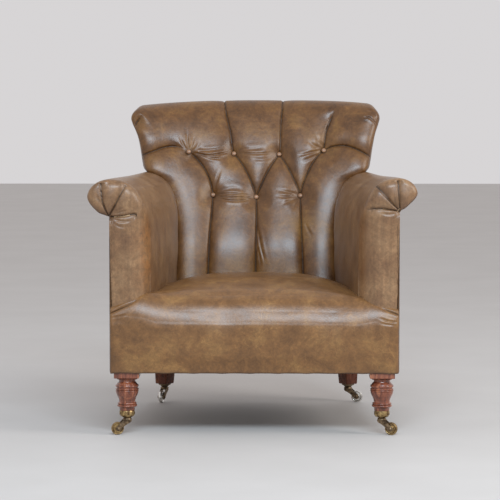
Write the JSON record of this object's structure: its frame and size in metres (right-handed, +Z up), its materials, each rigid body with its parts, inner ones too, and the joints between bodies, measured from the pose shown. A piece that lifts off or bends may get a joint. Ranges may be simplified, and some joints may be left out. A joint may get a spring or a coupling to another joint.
{
  "type": "upholstered armchair",
  "caption": "Low leather armchair with a deep-buttoned scroll back, scroll arms, a sprung seat, turned front legs, raked rear legs and brass castors.",
  "frame": {"origin": "on the floor under the middle of the chair's box", "axes": "+Z up, the chair faces -Y, +X to the right as seen from the front"},
  "size_m": [0.8226, 0.7969, 0.8175],
  "materials": {
    "leather": "semi-gloss, mottled olive brown, aged",
    "mahogany": "french polished, reddish",
    "beech": "raw",
    "brass": "aged",
    "steel": "plain",
    "horsehair": "curled hair",
    "jute": "woven",
    "black_cloth": "plain woven"
  },
  "bodies": {
    "root": {"arm_cover_left": "leather", "arm_cover_right": "leather", "arm_stuffing_left": "horsehair", "arm_stuffing_right": "horsehair", "arm_stump_left": "beech", "arm_stump_right": "beech", "arm_tack_rail_left": "beech", "arm_tack_rail_right": "beech", "arm_top_rail_left": "beech", "arm_top_rail_right": "beech", "back_canvas": "jute", "back_stuffing": "horsehair", "back_tack_rail": "beech", "back_top_rail": "beech", "back_upright_left": "beech", "back_upright_right": "beech", "dust_cover": "black_cloth", "front_corner_brace_left": "beech", "front_corner_brace_right": "beech", "front_left_castor_cup": "brass", "front_leg_left": "mahogany", "front_leg_right": "mahogany", "front_right_castor_cup": "brass", "front_seat_rail": "beech", "inside_back_cover": "leather", "lower_button_left": "leather", "lower_button_middle": "leather", "lower_button_right": "leather", "outside_arm_cover_left": "leather", "outside_arm_cover_right": "leather", "outside_back_cover": "leather", "rear_left_castor_plate": "brass", "rear_leg_left": "mahogany", "rear_leg_right": "mahogany", "rear_right_castor_plate": "brass", "rear_seat_rail": "beech", "seat_cover": "leather", "seat_front_roll": "horsehair", "seat_springs": "steel", "seat_stuffing": "horsehair", "seat_webbing": "jute", "side_seat_rail_left": "beech", "side_seat_rail_right": "beech", "spring_canvas": "jute", "top_button_inner_left": "leather", "top_button_inner_right": "leather", "top_button_outer_left": "leather", "top_button_outer_right": "leather"},
    "front_left_fork": {"front_left_castor_fork": "brass", "front_left_castor_axle": "steel"},
    "front_left_wheel": {"front_left_castor_wheel": "brass"},
    "front_right_fork": {"front_right_castor_fork": "brass", "front_right_castor_axle": "steel"},
    "front_right_wheel": {"front_right_castor_wheel": "brass"},
    "rear_left_fork": {"rear_left_castor_fork": "brass", "rear_left_castor_axle": "steel"},
    "rear_left_wheel": {"rear_left_castor_wheel": "brass"},
    "rear_right_fork": {"rear_right_castor_fork": "brass", "rear_right_castor_axle": "steel"},
    "rear_right_wheel": {"rear_right_castor_wheel": "brass"}
  },
  "joints": [
    {"name": "front_left_swivel", "type": "hinge", "parent": "root", "child": "front_left_fork", "pos_m": [-0.3165, -0.3645, 0.04], "axis": [0, 0, 1], "continuous": true},
    {"name": "front_left_roll", "type": "hinge", "parent": "front_left_fork", "child": "front_left_wheel", "pos_m": [-0.33999, -0.37305, 0.016], "axis": [0.342, -0.9397, 0], "continuous": true},
    {"name": "front_right_swivel", "type": "hinge", "parent": "root", "child": "front_right_fork", "pos_m": [0.3165, -0.3645, 0.04], "axis": [0, 0, 1], "continuous": true},
    {"name": "front_right_roll", "type": "hinge", "parent": "front_right_fork", "child": "front_right_wheel", "pos_m": [0.33968, -0.37387, 0.016], "axis": [0.3746, 0.9272, 0], "continuous": true},
    {"name": "rear_left_swivel", "type": "hinge", "parent": "root", "child": "rear_left_fork", "pos_m": [-0.251, 0.248, 0.04], "axis": [0, 0, 1], "continuous": true},
    {"name": "rear_left_roll", "type": "hinge", "parent": "rear_left_fork", "child": "rear_left_wheel", "pos_m": [-0.25831, 0.22409, 0.016], "axis": [0.9563, -0.2924, 0], "continuous": true},
    {"name": "rear_right_swivel", "type": "hinge", "parent": "root", "child": "rear_right_fork", "pos_m": [0.251, 0.248, 0.04], "axis": [0, 0, 1], "continuous": true},
    {"name": "rear_right_roll", "type": "hinge", "parent": "rear_right_fork", "child": "rear_right_wheel", "pos_m": [0.27526, 0.24195, 0.016], "axis": [0.2419, 0.9703, 0], "continuous": true}
  ]
}
